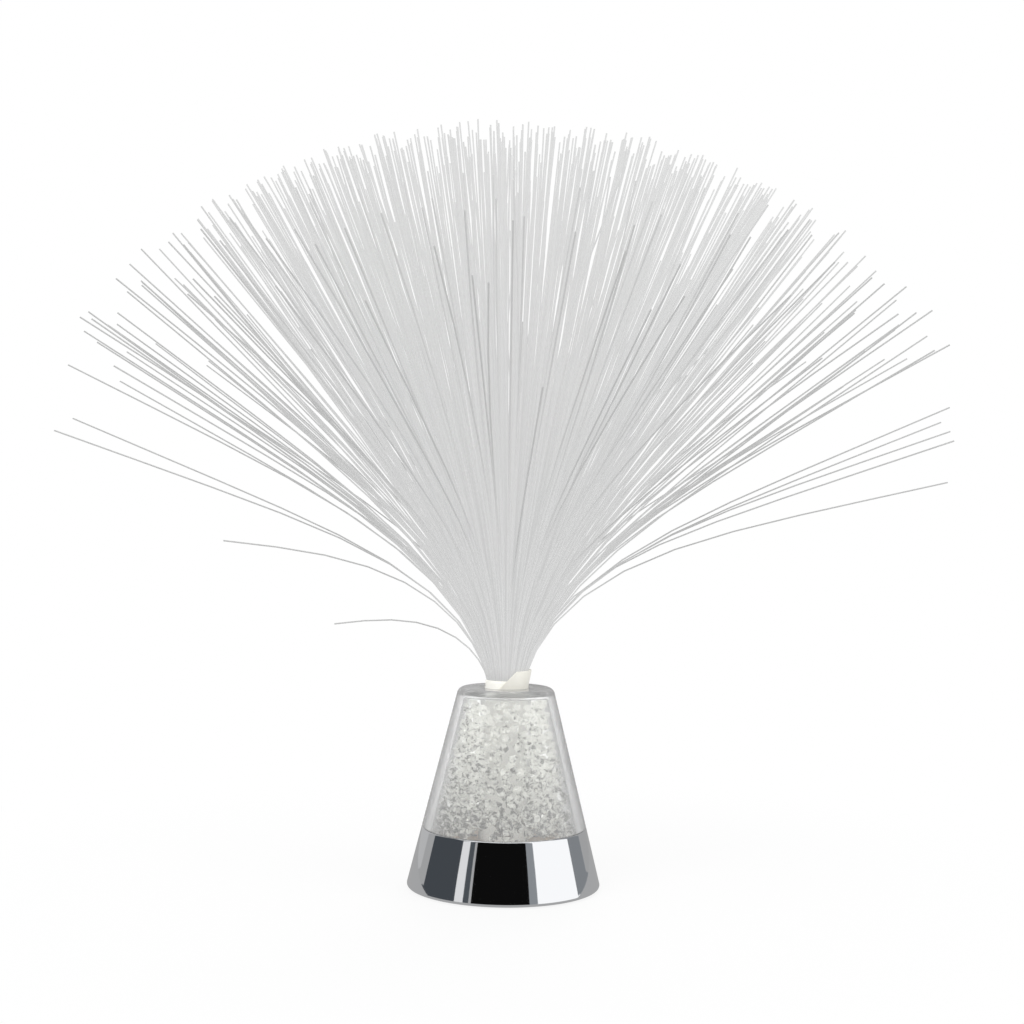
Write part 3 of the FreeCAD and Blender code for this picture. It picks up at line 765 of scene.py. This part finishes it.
@dataclass
class CrystalFill:
    """Crushed clear crystals round the cup's centre tube."""

    cup: CrystalCup
    floor: float = 22.2
    ceiling: float = 78.5
    split: float = 40.0
    spacing: float = 3.7
    size: tuple[float, float] = (1.7, 2.8)
    wall_gap: float = 1.5
    bare_height: float = 29.0
    bare_spots: tuple[tuple[float, float], ...] = ((-116.0, 15.0), (-62.0, 10.0))
    tries: int = 9000
    shards: int = 9
    breaks: int = 5
    break_depth: tuple[float, float] = (0.45, 0.8)
    stretch: tuple[float, float] = (0.75, 1.2)
    seed: int = 7

    def build(self) -> None:
        """Model, scatter, finish and fit the crystals."""
        chance = random.Random(self.seed)
        masters = [self._shard(chance) for _ in range(self.shards)]
        places = self._places(chance)
        low = [p for p in places if p.z < self.split]
        high = [p for p in places if p.z >= self.split]
        finish = CrystalShine().make("crystal_shine")
        for name, group, node in (("crystals_low", low, "crystal_chips_lower"),
                                  ("crystals_high", high, "crystal_chips_upper")):
            piece = self._scatter(name, group, masters, chance)
            dress(piece, finish)
            fit(piece, Body.BASE, [node])
        for master in masters:
            bpy.data.objects.remove(master)

    def _shard(self, chance: random.Random) -> bpy.types.Object:
        """Model one broken crystal, a small ball cut by a few flat breaks.

        Args:
            chance: Source of chance.

        Returns:
            The crystal, cut from a ball one unit in radius.
        """
        deselect_all()
        bpy.ops.mesh.primitive_ico_sphere_add(subdivisions=1, radius=1.0)
        shard = bpy.context.object
        bpy.ops.object.mode_set(mode="EDIT")
        for _ in range(self.breaks):
            bpy.ops.mesh.select_all(action="SELECT")
            normal = Vector([chance.uniform(-1, 1) for _ in range(3)]).normalized()
            bpy.ops.mesh.bisect(plane_co=normal * chance.uniform(*self.break_depth), plane_no=normal,
                                use_fill=True, clear_outer=True)
        bpy.ops.mesh.select_all(action="SELECT")
        bpy.ops.mesh.remove_doubles(threshold=0.02)
        bpy.ops.mesh.normals_make_consistent(inside=False)
        bpy.ops.object.mode_set(mode="OBJECT")
        return shard

    def _places(self, chance: random.Random) -> list[Vector]:
        """Scatter points between the tube and the cup's wall, each clear of the others.

        Args:
            chance: Source of chance.

        Returns:
            The points in millimetres.
        """
        gap = self.wall_gap
        found: list[Vector] = []
        for _ in range(self.tries):
            z = chance.uniform(self.floor + gap, self.ceiling - gap)
            outer = self.cup.inside(z) - gap
            radius = math.sqrt(chance.uniform((self.cup.tube_radius + gap) ** 2, outer ** 2))
            turn = chance.uniform(-math.pi, math.pi)
            point = Vector((radius * math.cos(turn), radius * math.sin(turn), z))
            bare = any(abs(math.degrees(turn) - spot) < half for spot, half in self.bare_spots)
            if bare and z < self.bare_height:
                continue
            if all((point - other).length > self.spacing for other in found):
                found.append(point)
        return found

    def _scatter(self, name: str, places: Sequence[Vector], masters: Sequence[bpy.types.Object],
                 chance: random.Random) -> bpy.types.Object:
        """Copy shards to the places, each with its own size and turn, and join them.

        Args:
            name: The joined piece's name.
            places: Middles in millimetres.
            masters: Shards to copy.
            chance: Source of chance.

        Returns:
            The joined piece.
        """
        copies = []
        for point in places:
            master = chance.choice(masters)
            copy = master.copy()
            copy.data = master.data.copy()
            bpy.context.scene.collection.objects.link(copy)
            reach = math.hypot(point.x, point.y)
            room = min(self.cup.inside(point.z) - reach, reach - self.cup.tube_radius,
                       point.z - self.floor)
            size = min(chance.uniform(*self.size), room / self.stretch[1])
            stretch = Vector([size * chance.uniform(*self.stretch) * MM for _ in range(3)])
            turn = Euler([chance.uniform(0, math.tau) for _ in range(3)])
            copy.matrix_world = Matrix.LocRotScale(point * MM, turn, stretch)
            copies.append(copy)
        deselect_all()
        for copy in copies:
            copy.select_set(True)
        bpy.context.view_layer.objects.active = copies[0]
        bpy.ops.object.join()
        piece = bpy.context.object
        piece.name = name
        return settle(piece)


@dataclass(frozen=True)
class Strand:
    """One fibre's course: root radius, azimuth, leans from upright, length, bend and sideways drift."""

    root: float
    azimuth: float
    lean: float
    tip: float
    length: float
    bend: float = 4.5
    drift: float = 0.0

    def line(self, start: float, points: int) -> list[Vector]:
        """Points from the root to the tip.

        Args:
            start: Height of the root in millimetres.
            points: Number of spans from root to tip.

        Returns:
            The points in millimetres.
        """
        radius, height, run = self.root, start, 0.0
        azimuth = math.radians(self.azimuth)
        line = [Vector((radius * math.cos(azimuth), radius * math.sin(azimuth), height - STUB)),
                Vector((radius * math.cos(azimuth), radius * math.sin(azimuth), height))]
        for n in range(points):
            stop = ((n + 1) / points) ** POINT_CROWDING * self.length
            step = (stop - run) / STEPS_PER_POINT
            for _ in range(STEPS_PER_POINT):
                run += step
                bent = 1 - (1 - (run - step / 2) / self.length) ** self.bend
                lean = math.radians(self.lean + (self.tip - self.lean) * bent)
                radius += step * math.sin(lean)
                height += step * math.cos(lean)
            turn = azimuth + math.radians(self.drift) * (run / self.length) ** 2
            line.append(Vector((radius * math.cos(turn), radius * math.sin(turn), height)))
        return line


@dataclass
class FibreSpray:
    """Spray of thin clear fibres that leave the bundle, lean outward and bend under their weight."""

    leaders: int = 96
    fillers: int = 840
    tiers: int = 8
    diameter: float = 0.6
    root_height: float = 86.0
    root_circle: float = 7.96
    length: float = 228.0
    root_lean: float = 12.0
    tip_lean: float = 63.0
    rim_lean: float = 12.0
    rim_power: float = 24.0
    shortening: float = 0.055
    scatter: float = 0.025
    filler_lean: float = 40.0
    filler_rim_lean: float = 21.0
    filler_rim_power: float = 20.0
    filler_lean_scatter: float = 1.5
    filler_shortening: float = 0.012
    filler_length_scatter: tuple[float, float] = (-0.024, 0.004)
    filler_turn_scatter: float = 2.0
    filler_bend: float = 4.5
    filler_bend_scatter: float = 0.8
    filler_drift_scatter: float = 2.5
    points: int = 10
    seed: int = 180
    # Lighter and darker copies of one fibre finish, given out at random: the brightest copy is a painted
    # highlight and the darkest copy painted shade.
    looks: tuple[tuple[str, int, FibreGloss], ...] = (
        ("plain", 60, FibreGloss(0.38, 0.36, 0.15)),
        ("painted_highlight", 22, FibreGloss(0.76, 0.60, 0.34)),
        ("painted_shade", 18, FibreGloss(0.20, 0.17, 0.07)),
    )
    strays: tuple[Strand, ...] = (
        Strand(7.9, 2.0, 12.0, 77.0, 207.0, 4.0, 1.0),
        Strand(7.9, -3.0, 12.0, 70.0, 212.0, 4.0, 1.0),
        Strand(7.8, 5.0, 12.0, 67.5, 214.0, 4.5, -2.0),
        Strand(7.9, 181.0, 12.0, 64.0, 224.0, 4.0, 1.0),
        Strand(7.9, 178.0, 12.0, 68.0, 214.0, 5.0, -1.0),
        Strand(7.8, 184.0, 12.0, 58.0, 224.0, 4.5, 1.0),
        Strand(7.9, 190.0, 14.0, 84.0, 132.0, 2.2, 4.0),
        Strand(7.9, 196.0, 16.0, 96.0, 76.0, 2.0, 2.0),
    )

    def build(self) -> None:
        """Model, finish and fit the spray, tier by tier from the middle out."""
        chance = random.Random(self.seed)
        leaders = [self._leader(n, chance) for n in range(self.leaders)]
        fillers = [self._filler(n, chance) for n in range(self.fillers)]
        finishes = [look.make(f"fibre_{name}") for name, _, look in self.looks]
        for tier in range(self.tiers):
            strands = leaders[self._share(tier, self.leaders)] + fillers[self._share(tier, self.fillers)]
            if tier == self.tiers - 1:
                strands += self.strays
            piece = self._strands(f"fibres_{tier + 1:02d}", strands, chance)
            piece.data.materials.clear()
            for finish in finishes:
                piece.data.materials.append(finish)
            smooth(piece, 60.0)
            fit(piece, Body.SPRAY, [f"fibre_tier_{tier + 1:02d}"])

    def _share(self, tier: int, count: int) -> slice:
        """Places of one tier's fibres among a count of them."""
        return slice(tier * count // self.tiers, (tier + 1) * count // self.tiers)

    def _leader(self, index: int, chance: random.Random) -> Strand:
        """Fibre at the same place as one of the CAD model's.

        Args:
            index: Its number from the middle out.
            chance: Source of chance.

        Returns:
            The fibre.
        """
        share = math.sqrt((index + 0.5) / self.leaders)
        length = self.length * (1 - self.shortening * share ** 3) * (1 - self.scatter * chance.random())
        return Strand(self.root_circle * share, GOLDEN_ANGLE * index, self.root_lean * share,
                      self.tip_lean * share + self.rim_lean * share ** self.rim_power, length)

    def _filler(self, index: int, chance: random.Random) -> Strand:
        """Fibre of the dense middle, between the leaders.

        Args:
            index: Its number from the middle out.
            chance: Source of chance.

        Returns:
            The fibre.
        """
        share = math.sqrt((index + 0.5) / self.fillers)
        tip = (self.filler_lean * share + self.filler_rim_lean * share ** self.filler_rim_power
               + chance.gauss(0, self.filler_lean_scatter))
        length = (self.length * (1 - self.filler_shortening * share)
                  * (1 + chance.uniform(*self.filler_length_scatter)))
        azimuth = GOLDEN_ANGLE * index + chance.gauss(0, self.filler_turn_scatter)
        bend = self.filler_bend + chance.uniform(-self.filler_bend_scatter, self.filler_bend_scatter)
        drift = chance.gauss(0, self.filler_drift_scatter)
        return Strand(self.root_circle * share, azimuth, self.root_lean * share, tip, length, bend,
                      drift)

    def _strands(self, name: str, strands: Sequence[Strand], chance: random.Random) -> bpy.types.Object:
        """Draw strands as round tubes of one mesh.

        Args:
            name: The piece's name.
            strands: The fibres.
            chance: Source of chance for their looks.

        Returns:
            The piece.
        """
        deselect_all()
        bpy.ops.curve.primitive_nurbs_path_add()
        drawn = bpy.context.object
        drawn.name = name
        curve = drawn.data
        curve.splines.clear()
        shares = [share for _, share, _ in self.looks]
        for strand in strands:
            line = strand.line(self.root_height, self.points)
            spline = curve.splines.new("POLY")
            spline.points.add(len(line) - 1)
            for point, place in zip(spline.points, line):
                point.co = (*(place * MM), 1.0)
            spline.material_index = chance.choices(range(len(shares)), shares)[0]
        for _ in shares:
            curve.materials.append(None)
        curve.bevel_depth = self.diameter / 2 * MM
        curve.bevel_resolution = 0
        curve.use_fill_caps = True
        bpy.ops.object.convert(target="MESH")
        return settle(bpy.context.object)


@dataclass
class BundleNeck:
    """Potted foot of the bundle and its sleeve, cut off aslant at the neck."""

    cone: Cone
    core_radius: float = 8.62
    core_bottom: float = 23.6
    core_top: float = 86.2
    core_round: float = 0.5
    sleeve_radius: float = 9.4
    sleeve_wall: float = 0.6
    sleeve_round: float = 0.12
    sleeve_bottom: float = 21.6
    low_rise: float = 0.9
    flare_rise: float = 7.4
    flare: float = 1.25
    cut_offset: float = 2.0
    cut_slope: float = 46.0

    def build(self) -> None:
        """Model, finish and fit the core and the sleeve."""
        core = turned("bundle_core", [
            (self.core_radius, self.core_bottom),
            (self.core_radius, self.core_top),
        ], sides=96, closed=False)
        bevel_rings(core, [(self.core_radius, self.core_top)], self.core_round, 3)
        smooth(core)
        # painted glow on the core, which lights the column seen through the cup
        dress(core, Resin((0.93, 0.92, 0.88), (0.84, 0.83, 0.76), painted_glow=0.25).make("core_resin"))
        fit(core, Body.SPRAY, ["potted_bundle"])
        inside = self.sleeve_radius - self.sleeve_wall
        low = self.cone.cup_top + self.low_rise
        top = self.cone.cup_top + self.flare_rise
        sleeve = turned("neck_sleeve", [
            (inside, self.sleeve_bottom),
            (self.sleeve_radius, self.sleeve_bottom),
            (self.sleeve_radius, low),
            (self.sleeve_radius + self.flare, top),
            (inside + self.flare, top),
            (inside, low),
        ], sides=96)
        self._cut_aslant(sleeve, low)
        modified(sleeve, "BEVEL", width=self.sleeve_round * MM, segments=2, limit_method="ANGLE",
                 angle_limit=math.radians(40))
        smooth(sleeve)
        # fainter painted glow on the sleeve
        dress(sleeve, Resin((0.86, 0.85, 0.80), (0.78, 0.76, 0.68), painted_glow=0.12).make("sleeve_cream"))
        fit(sleeve, Body.SPRAY, ["bundle_sleeve"])

    def _cut_aslant(self, sleeve: bpy.types.Object, low: float) -> None:
        """Cut the sleeve's top off on a slope, down to its low side.

        Args:
            sleeve: The sleeve.
            low: Height of its low side in millimetres.
        """
        slope = math.radians(self.cut_slope)
        only(sleeve)
        bpy.ops.object.mode_set(mode="EDIT")
        bpy.ops.mesh.select_all(action="SELECT")
        bpy.ops.mesh.bisect(plane_co=(-self.cut_offset * MM, 0, low * MM),
                            plane_no=(-math.sin(slope), 0, math.cos(slope)),
                            use_fill=True, clear_outer=True)
        bpy.ops.object.mode_set(mode="OBJECT")


@dataclass
class Fittings:
    """CAD pieces of the base and the board that keep their shape and get real finishes."""

    black: tuple[float, float, float] = (0.035, 0.035, 0.038)
    cell_end: float = 1.8

    def build(self) -> None:
        """Finish every carried-over node."""
        plastic = MouldedPlastic(self.black).make("black_plastic")
        metal = SheetMetal().make("contact_metal")
        steel = SheetMetal((0.60, 0.60, 0.60), 0.3).make("plated_steel")
        chips = MouldedPlastic((0.02, 0.02, 0.022), 3000.0, 0.35).make("chip_case")
        sleeve_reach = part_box("battery_cells")[1][1] - self.cell_end * MM
        finishes = {
            "bottom_cover": plastic,
            "battery_door": plastic,
            "switch_knob": MouldedPlastic((0.03, 0.03, 0.03), 3000.0, 0.35).make("knob_plastic"),
            "foot_pads": MouldedPlastic((0.018, 0.018, 0.018), 1200.0, 0.75).make("pad_rubber"),
            "cover_screws": steel,
            "switch_body": steel,
            "switch_terminals": metal,
            "contact_plates": metal,
            "contact_springs": metal,
            "battery_cells": CellWrap(sleeve_reach).make("cell_wrap"),
            "light_board": PhenolicBoard().make("board_phenolic"),
            "bundle_led": Resin((0.93, 0.92, 0.80), (0.85, 0.82, 0.6)).make("led_lens"),
            "crystal_leds": Resin((0.93, 0.92, 0.80), (0.85, 0.82, 0.6)).make("led_lens_small"),
            "board_resistors": chips,
            "colour_controller": chips,
            "battery_leads": MouldedPlastic((0.40, 0.02, 0.02), 1500.0, 0.4).make("lead_red"),
            "switch_leads": MouldedPlastic((0.03, 0.03, 0.03), 1500.0, 0.4).make("lead_black"),
        }
        for node, material in finishes.items():
            recoat(node, material)
            LOG.info("%s keeps its CAD shape", node)


@dataclass(frozen=True)
class Card:
    """Card that only reflections see, flat along the floor and then upright.

    start and end are compass angles in degrees, 0 towards the camera and positive to its right.
    """

    start: float
    end: float
    shade: float
    tint: tuple[float, float, float] = (1.0, 1.0, 1.0)


@dataclass(frozen=True)
class SoftLight:
    """Soft square light, with its place and side in metres."""

    name: str
    place: tuple[float, float, float]
    power: float
    side: float = 1.0


@dataclass
class Studio:
    """Floor, light and camera of the photograph."""

    eye: tuple[float, float, float] = (0.0014, -0.672, 0.1563)
    lens: float = 56.5
    roll: float = 0.85
    aim: tuple[float, float, float] = (0.0, 0.0, 0.14)
    ambient: float = 0.62
    floor_size: float = 6.0
    paper_shade: float = 0.82
    paper_white: float = 0.86
    paper_fade: tuple[float, float] = (0.05, 0.30)
    lights: tuple[SoftLight, ...] = (
        SoftLight("key", (-0.7, -0.9, 1.2), 11.0),
        SoftLight("fill", (1.1, -0.7, 0.7), 6.0),
        SoftLight("back", (0.2, 1.2, 1.0), 8.0),
    )
    card_near: float = 0.3
    ground_shade: float = 0.38
    card_step: float = 6.0
    card_distance: float = 1.9
    card_top: float = 2.6
    card_foot: float = 0.0003
    cards: tuple[Card, ...] = (
        Card(-180, -125, 0.46),
        Card(-125, -109, 0.36),
        Card(-109, -58, 0.07, (0.78, 0.88, 1.0)),
        Card(-58, -47, 0.72),
        Card(-47, -40, 0.09, (0.8, 0.9, 1.0)),
        Card(-40, -37, 0.38),
        Card(-37, 31, 0.004),
        Card(31, 41, 0.28, (0.9, 0.95, 1.0)),
        Card(41, 98, 1.0),
        Card(98, 124, 0.24, (0.9, 0.95, 1.0)),
        Card(124, 180, 0.36),
    )

    def build(self) -> None:
        """Set up the whole studio."""
        self._world()
        self._floor()
        for number, card in enumerate(self.cards):
            self._card(number, card)
        self._ground()
        for light in self.lights:
            self._lamp(light)
        self._camera()
        bpy.context.scene.view_settings.view_transform = "Standard"

    def _world(self) -> None:
        """White world to the camera, reflections and clear plastic, paler light elsewhere."""
        world = bpy.data.worlds.new("studio")
        bpy.context.scene.world = world
        world.use_nodes = True
        tree = world.node_tree
        tree.nodes.clear()
        path = tree.nodes.new("ShaderNodeLightPath")
        background = tree.nodes.new("ShaderNodeBackground")
        output = tree.nodes.new("ShaderNodeOutputWorld")
        seen, *others = (path.outputs[f"Is {ray} Ray"] for ray in SEEING_RAYS)
        for other in others:
            either = tree.nodes.new("ShaderNodeMath")
            either.operation = "MAXIMUM"
            tree.links.new(seen, either.inputs[0])
            tree.links.new(other, either.inputs[1])
            seen = either.outputs[0]
        strength = tree.nodes.new("ShaderNodeMapRange")
        strength.inputs["To Min"].default_value = self.ambient
        strength.inputs["To Max"].default_value = 1.0
        tree.links.new(seen, strength.inputs["Value"])
        background.inputs["Color"].default_value = (1, 1, 1, 1)
        tree.links.new(strength.outputs[0], background.inputs["Strength"])
        tree.links.new(background.outputs[0], output.inputs[0])

    def _floor(self) -> None:
        """Pale floor that melts into the background and can be seen through from below."""
        deselect_all()
        bpy.ops.mesh.primitive_plane_add(size=self.floor_size)
        floor = bpy.context.object
        floor.name = "floor"
        graph = Graph("floor_paper")
        diffuse = graph.node("ShaderNodeBsdfDiffuse", {}, {"Color": (*(self.paper_shade,) * 3, 1.0)})
        white = graph.node("ShaderNodeEmission", {}, {"Color": (1, 1, 1, 1), "Strength": 1.0})
        clear = graph.node("ShaderNodeBsdfTransparent", {}, {})
        far = graph.ramp(graph.radius(), *self.paper_fade)
        seen = graph.shown() * (far * (1 - self.paper_white) + self.paper_white)
        paper = graph.node("ShaderNodeMixShader", {}, {
            0: seen, 1: diffuse.outputs[0], 2: white.outputs[0]})
        below = graph.node("ShaderNodeNewGeometry", {}, {})
        shown = graph.node("ShaderNodeMixShader", {}, {
            0: below.outputs["Backfacing"], 1: paper.outputs[0], 2: clear.outputs[0]})
        graph.tree.links.new(shown.outputs[0], graph.output.inputs[0])
        dress(floor, graph.material)

    def _card(self, number: int, card: Card) -> None:
        """Stand one reflection card on its arc round the lamp.

        Args:
            number: Its place among the cards.
            card: The card.
        """
        steps = max(2, int(abs(card.end - card.start) / self.card_step))
        corners, faces = [], []
        for n in range(steps + 1):
            turn = math.radians(card.start + (card.end - card.start) * n / steps)
            across, away = math.sin(turn), -math.cos(turn)
            corners += [(self.card_near * across, self.card_near * away, self.card_foot),
                        (self.card_distance * across, self.card_distance * away, self.card_foot),
                        (self.card_distance * across, self.card_distance * away, self.card_top)]
            if n:
                k = 3 * n
                faces += [(k - 3, k, k + 1, k - 2), (k - 2, k + 1, k + 2, k - 1)]
        mesh = bpy.data.meshes.new(f"card_{number}")
        mesh.from_pydata(corners, [], faces)
        piece = bpy.data.objects.new(f"card_{number}", mesh)
        bpy.context.scene.collection.objects.link(piece)
        self._only_reflected(piece, [card.shade * part for part in card.tint])

    def _ground(self) -> None:
        """Grey round card on the floor, which the ring's sides reflect."""
        deselect_all()
        bpy.ops.mesh.primitive_circle_add(vertices=64, radius=self.card_near, fill_type="NGON",
                                          location=(0, 0, self.card_foot))
        ground = bpy.context.object
        ground.name = "ground_card"
        self._only_reflected(ground, [self.ground_shade] * 3)

    @staticmethod
    def _only_reflected(piece: bpy.types.Object, colour: Sequence[float]) -> None:
        """Light a card in one colour and show it to reflections alone.

        Args:
            piece: The card.
            colour: Its red, green and blue.
        """
        graph = Graph(piece.name)
        shine = graph.node("ShaderNodeEmission", {}, {"Color": (*colour, 1.0), "Strength": 1.0})
        graph.tree.links.new(shine.outputs[0], graph.output.inputs[0])
        graph.material.cycles.emission_sampling = "NONE"
        dress(piece, graph.material)
        for ray in ("camera", "shadow", "diffuse", "transmission", "volume_scatter"):
            setattr(piece, f"visible_{ray}", False)

    def _lamp(self, soft: SoftLight) -> None:
        """Hang one light, aimed at the lamp's middle.

        Args:
            soft: The light.
        """
        light = bpy.data.lights.new(soft.name, "AREA")
        light.size = soft.side
        light.energy = soft.power
        lamp = bpy.data.objects.new(soft.name, light)
        bpy.context.scene.collection.objects.link(lamp)
        lamp.location = soft.place
        towards = Vector(self.aim) - Vector(soft.place)
        lamp.rotation_euler = towards.to_track_quat("-Z", "Y").to_euler()
        lamp.visible_glossy = False
        lamp.visible_transmission = False

    def _camera(self) -> None:
        """Camera at the photograph's place, level, rolled by its small tilt."""
        camera = bpy.data.cameras.new("photo")
        camera.lens = self.lens
        camera.sensor_width = 36.0
        camera.clip_start = 0.01
        view = bpy.data.objects.new("photo", camera)
        bpy.context.scene.collection.objects.link(view)
        view.location = self.eye
        view.rotation_euler = (Matrix.Rotation(math.radians(90), 3, "X")
                               @ Matrix.Rotation(math.radians(self.roll), 3, "Z")).to_euler()
        bpy.context.scene.camera = view


def main() -> None:
    """Build the lamp and its studio."""
    logging.basicConfig(level=logging.INFO, format="%(message)s")
    cone = Cone()
    cup = CrystalCup(cone)
    for assembly in (Studio(), Fittings(), ChromeRing(cone), cup, CrystalFill(cup), BundleNeck(cone),
                     FibreSpray()):
        assembly.build()


if __name__ == "__main__":
    main()
